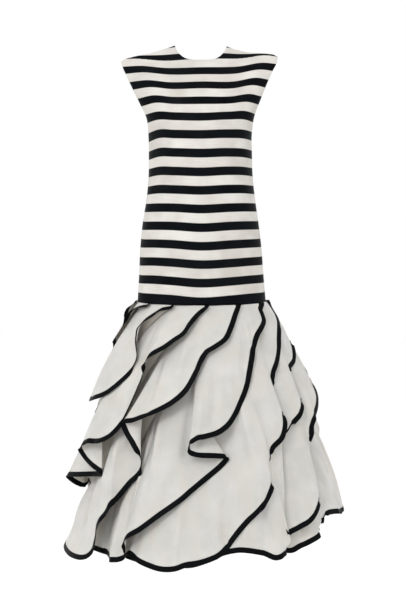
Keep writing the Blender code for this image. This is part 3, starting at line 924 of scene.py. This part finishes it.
@dataclass(frozen=True)
class Foundation:
    """The A-line under-skirt that carries the flounces."""

    cut: tuple[float, float, float] = (1.55, 0.58, 0.72)
    smooth_below: float = 40.0

    def build(self, finish: bpy.types.Material) -> None:
        """Build the under-skirt from a copy of its packed wall.

        Args:
            finish: The plain cloth.
        """
        name = "skirt_foundation"
        bm = bmesh.new()
        bm.from_mesh(bpy.data.objects[name].data)
        bmesh.ops.remove_doubles(bm, verts=bm.verts, dist=MERGE_REACH)
        mesh = bpy.data.meshes.new(f"{name}_cloth")
        for face in bm.faces:
            face.smooth = True
        bm.to_mesh(mesh)
        bm.free()
        mesh.set_sharp_from_angle(angle=math.radians(self.smooth_below))
        thing = bpy.data.objects.new(mesh.name, mesh)
        bpy.context.scene.collection.objects.link(thing)
        dress(thing, finish, Slot.PLAIN, name)


# The area that each flounce is cut to, in square metres
CUTS = {
    "01": 0.16, "02": 0.13, "03": 0.16, "04": 0.17, "05": 0.17, "06": 0.18,
    "07": 0.21, "08": 0.19, "09": 0.16, "10": 0.16, "11": 0.14, "12": 0.14,
}  # fmt: skip

# Where a flounce's hem is turned under, from and to along the hem
TURNED = {
    "02": ((262, 330),),
    "03": ((535, 640),),
    "04": ((985, 1130),),
    "07": ((285, 332), (508, 535)),
    "08": ((30, 146), (280, 335), (480, 772)),
    "09": ((560, 690),),
    "10": ((470, 610), (962, 972)),
}

# Where a binding is drawn slim, as where it stands edge-on along a tight fold
SLIM = {
    "03": ((98, 215),),
    "04": ((256, 380),),
    "05": ((585, 605),),
}

# The flounces' soft ridges and troughs, each given as a Crease's values
CREASES = {
    "01": (
        (-124, 40, -127, 150, 11, 3.0),
        (-141, 120, -146, 300, 14, -4.5),
        (-158, 190, -160, 420, 12, 5.0),
        (-174, 300, -171, 500, 15, -5.5),
        (-186, 380, -190, 640, 13, 6.0),
        (-205, 470, -201, 690, 16, -6.0),
        (-218, 540, -222, 700, 14, 5.0),
    ),
    "02": (
        (-90, 25, -94, 130, 10, 2.5),
        (-108, 80, -111, 250, 13, -4.5),
        (-124, 150, -122, 350, 12, 5.0),
        (-141, 260, -145, 470, 15, -6.0),
        (-157, 330, -155, 590, 13, 5.5),
        (-173, 430, -178, 680, 15, -6.0),
        (-192, 520, -190, 700, 13, 5.0),
    ),
    "03": (
        (-62, 40, -66, 170, 11, 3.0),
        (-78, 90, -77, 260, 12, -4.0),
        (-97, 190, -101, 400, 14, 5.5),
        (-114, 260, -112, 470, 12, -5.0),
        (-128, 350, -132, 590, 15, 6.0),
        (-146, 450, -143, 690, 13, -6.0),
        (-163, 530, -166, 700, 15, 5.0),
    ),
    "04": (
        (-36, 70, -39, 200, 12, 3.0),
        (-53, 170, -46, 290, 12, -3.0),
        (-66, 200, -64, 400, 12, 4.5),
        (-88, 260, -92, 500, 14, -5.0),
        (-101, 360, -99, 620, 13, 5.5),
        (-120, 450, -124, 690, 15, -6.0),
        (-137, 530, -134, 700, 13, 5.0),
    ),
    "05": (
        (-12, 60, -15, 170, 12, 4.5),
        (-33, 120, -31, 280, 11, -7.5),
        (-46, 230, -49, 400, 13, 7.0),
        (-62, 330, -60, 460, 12, -6.0),
        (-80, 440, -62, 600, 12, -7.5),
        (-88, 400, -82, 640, 46, 17.0, 0.5, 0.4),
        (-104, 430, -106, 690, 13, -8.0),
        (-119, 540, -116, 700, 14, 7.5),
    ),
    "06": (
        (40, 15, 26, 200, 10, -5.0, 0.3, 0.4),
        (43, 20, 35, 150, 9, 4.5),
        (10, 110, 5, 300, 10, -7.0),
        (-7, 160, -9, 400, 11, -7.0),
        (0, 190, -2, 380, 9, 6.0),
        (-24, 300, -26, 470, 13, -6.0),
        (-41, 440, -38, 700, 13, 9.0),
        (-55, 470, -52, 700, 11, -7.5),
        (-72, 520, -76, 700, 14, 7.5),
    ),
    "07": (
        (55, 50, 46, 150, 9, -3.0, 0.3, 0.4),
        (30, 210, 34, 400, 12, 7.5),
        (20, 200, 22, 380, 10, -4.0),
        (14, 400, 10, 620, 14, -5.0),
        (1, 480, 9, 680, 12, -4.5),
        (-8, 430, -12, 700, 14, 7.5),
        (-30, 480, -28, 700, 15, -5.5),
        (27, 440, 24, 560, 12, 7.0),
    ),
    "08": (
        (78, 30, 74, 150, 9, 3.0),
        (58, 90, 55, 250, 11, -4.0),
        (46, 200, 47, 380, 12, 4.5),
        (37, 330, 38, 480, 12, -4.5),
        (28, 440, 27, 640, 12, -5.5),
        (20, 460, 19, 700, 12, 5.0),
        (34, 480, 33, 660, 9, 4.0),
    ),
    "09": (
        (104, 30, 101, 150, 10, 3.0),
        (88, 90, 85, 260, 12, -4.5),
        (72, 190, 70, 360, 11, 4.5),
        (57, 300, 57, 540, 14, 6.0),
        (66, 330, 65, 520, 10, -4.5),
        (46, 400, 47, 640, 11, -5.0),
    ),
    "10": (
        (138, 40, 134, 160, 11, 3.0),
        (121, 90, 118, 270, 13, -4.5),
        (103, 190, 105, 400, 12, 5.0),
        (88, 280, 85, 500, 14, -5.5),
        (74, 370, 75, 620, 13, 5.5),
        (67, 440, 88, 600, 12, -4.5),
        (52, 500, 50, 700, 12, -5.0),
    ),
    "11": (
        (172, 60, 168, 200, 12, 3.5),
        (152, 130, 149, 330, 14, -5.0),
        (133, 200, 135, 430, 12, 5.5),
        (116, 310, 112, 540, 14, -5.5),
        (99, 400, 101, 660, 13, 5.5),
        (84, 480, 80, 700, 14, -5.0),
    ),
    "12": (
        (206, 40, 203, 150, 11, 3.0),
        (191, 100, 187, 280, 13, -4.5),
        (174, 180, 176, 390, 12, 5.0),
        (158, 290, 154, 500, 14, -6.0),
        (141, 380, 143, 640, 13, 5.5),
        (124, 470, 120, 700, 15, -6.0),
        (107, 540, 110, 700, 13, 4.5),
    ),
}


@dataclass(frozen=True)
class Flounce:
    """One spiral flounce and the binding along its free edge."""

    number: str
    wall: float = 1.0
    shell: float = 0.8
    steps: tuple[float, float] = (6.0, 9.0)
    hem: float = 17.0
    roll: float = 3.6
    roll_ramp: float = 20.0
    binding_width: float = 10.4
    binding_height: float = 0.9
    lap: float = 4.4
    start_reach: float = 7.0
    start_rise: float = 3.0
    slimmed: float = 0.72
    slim_ramp: float = 6.0
    binding_sides: int = 12
    closing_reach: float = 0.001
    binding_roundness: float = 0.6
    cut_fill: float = 0.6
    cut_shape: float = 1.7

    def build(self, organza: bpy.types.Material, black: bpy.types.Material) -> None:
        """Build the cloth and its binding.

        Args:
            organza: The flounce's finish.
            black: The binding's finish.
        """
        node = f"flounce_{self.number}"
        cloth = Cloth.from_wall(node, self.wall, Vector((0, 0, -1)), self.steps, self.hem)
        cloth.crease(tuple(Crease(*row) for row in CREASES[self.number]))
        cloth.turn_under(TURNED.get(self.number, ()), self.roll, self.roll_ramp)
        thing = dress(cloth.make(f"{node}_organza", self.shell), organza, Slot.ORGANZA, node)
        band = self.bind(cloth, black)
        LOG.info("%s: %.3f m2", node, sum(p.area for p in thing.data.polygons))

    def bind(self, cloth: Cloth, black: bpy.types.Material) -> bpy.types.Object:
        """Fold the binding round the flounce's hem.

        It starts behind the waist seam, and is slim in the hidden rolls and where the hem stands edge-on.

        Args:
            cloth: The flounce's fine grid.
            black: The binding's finish.

        Returns:
            The binding.
        """
        edge, normals = cloth.points[:, -1], cloth.outward()[:, -1]
        way = edge[2] - edge[0]
        start = edge[0] - way / np.linalg.norm(way) * self.start_reach * MM
        start[2] = (WAIST_LEVEL + self.start_rise) * MM
        edge = np.vstack([start, edge])
        normals = np.vstack([normals[0], normals])
        down = np.cross(normals, np.gradient(edge, axis=0))
        down /= np.linalg.norm(down, axis=1, keepdims=True)
        inner = np.vstack([cloth.points[0, -2] + start - edge[1], cloth.points[:, -2]])
        down *= np.sign((down * (edge - inner)).sum(axis=1, keepdims=True))
        place = np.concatenate([[0.0], cloth.lengths()[0] / MM])
        on_edge = in_spans(place, SLIM.get(self.number, ()), self.roll_ramp)
        hidden = in_spans(place, TURNED.get(self.number, ()), self.slim_ramp)
        slim = 1 - self.slimmed * np.maximum(on_edge, hidden)[:, None]
        ring = []
        for turn in np.linspace(0, 2 * math.pi, self.binding_sides + 1):
            reach = slim * (-self.lap + (self.binding_width + self.lap) * (0.5 - 0.5 * math.cos(turn)))
            swell = math.copysign(abs(math.sin(turn)) ** self.binding_roundness, math.sin(turn))
            height = self.binding_height * swell
            ring.append(edge + down * reach * MM + normals * height * MM)
        thing = Cloth(np.array(ring).transpose(1, 0, 2)).make(f"binding_{self.number}_satin", 0.0)
        bm = bmesh.new()
        bm.from_mesh(thing.data)
        bmesh.ops.remove_doubles(bm, verts=bm.verts, dist=self.closing_reach * MM)
        bmesh.ops.holes_fill(bm, edges=[e for e in bm.edges if e.is_boundary])
        bmesh.ops.recalc_face_normals(bm, faces=bm.faces)
        bm.to_mesh(thing.data)
        bm.free()
        return dress(thing, black, Slot.BINDING, f"binding_{self.number}")


@dataclass(frozen=True)
class Lamp:
    """One soft square light that faces the gown: its place and side in metres, and its power in watts."""

    name: str
    place: tuple[float, float, float]
    side: float
    power: float


@dataclass(frozen=True)
class Studio:
    """A plain pale floor, soft light from the front and a camera at the photograph's viewing angle."""

    camera_distance: float = 4.0
    photo_mm_per_pixel: float = 2.72
    photo_horizon: float = 165.0
    photo_top: float = 45.0
    photo_axis: float = 203.0
    principal_x: float = 201.5
    sensor: float = 36.0
    floor_level: float = -2.4
    floor_half: float = 14.0
    floor_roughness: float = 0.9
    white: str = "FFFFFF"
    daylight: float = 1.0
    gown_middle: float = -0.7
    lamps: tuple[Lamp, ...] = (
        Lamp("key", (-1.5, -3.3, 1.4), 1.2, 52.0),
        Lamp("fill", (1.4, -3.6, 0.4), 1.6, 10.0),
        Lamp("back", (0.6, 3.0, 1.4), 2.0, 20.0),
    )

    def camera(self) -> None:
        """Place the camera."""
        scale = self.photo_mm_per_pixel * MM
        height = -(self.photo_horizon - self.photo_top) * scale
        fall = (PHOTO_HEIGHT / 2 - self.photo_horizon) * scale
        focal = math.hypot(self.camera_distance, fall) / scale
        data = bpy.data.cameras.new("photo_camera")
        data.sensor_fit = "AUTO"
        data.sensor_width = self.sensor
        data.lens = focal / PHOTO_HEIGHT * self.sensor
        data.shift_x = (self.photo_axis - self.principal_x) / PHOTO_HEIGHT
        thing = bpy.data.objects.new("photo_camera", data)
        bpy.context.scene.collection.objects.link(thing)
        thing.location = (0.0, -self.camera_distance, height)
        thing.rotation_euler = (math.radians(90) - math.atan(fall / self.camera_distance), 0.0, 0.0)
        bpy.context.scene.camera = thing

    def light(self, lamp: Lamp) -> None:
        """Add one soft light that faces the gown."""
        data = bpy.data.lights.new(lamp.name, "AREA")
        data.size = lamp.side
        data.energy = lamp.power
        thing = bpy.data.objects.new(lamp.name, data)
        bpy.context.scene.collection.objects.link(thing)
        thing.location = lamp.place
        way = Vector((0.0, 0.0, self.gown_middle)) - Vector(lamp.place)
        thing.rotation_euler = way.to_track_quat("-Z", "Y").to_euler()

    def build(self) -> None:
        """Set the floor, the world, the lights and the camera."""
        bm = bmesh.new()
        bmesh.ops.create_grid(bm, x_segments=1, y_segments=1, size=self.floor_half)
        mesh = bpy.data.meshes.new("floor")
        bm.to_mesh(mesh)
        bm.free()
        floor = bpy.data.objects.new("floor", mesh)
        floor.location = (0.0, 0.0, self.floor_level)
        bpy.context.scene.collection.objects.link(floor)
        material, _, shader = new_material("pale_floor")
        shader.inputs["Base Color"].default_value = linear(self.white)
        shader.inputs["Roughness"].default_value = self.floor_roughness
        mesh.materials.append(material)
        world = bpy.data.worlds.new("studio")
        world.use_nodes = True
        background = world.node_tree.nodes["Background"]
        background.inputs["Color"].default_value = linear(self.white)
        background.inputs["Strength"].default_value = self.daylight
        bpy.context.scene.world = world
        bpy.context.scene.view_settings.view_transform = "Standard"
        for lamp in self.lamps:
            self.light(lamp)
        self.camera()


def main() -> None:
    """Dress the gown."""
    logging.basicConfig(level=logging.INFO, format="%(message)s")
    for thing in list(bpy.data.objects):
        bpy.data.objects.remove(thing, do_unlink=True)
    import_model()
    Studio().build()
    Bodice().build(StripedSatin().material())
    Foundation().build(PlainCloth().material())
    organza, black = CrispOrganza().material(), SatinBinding().material()
    for number in CUTS:
        Flounce(number).build(organza, black)


if __name__ == "__main__":
    main()
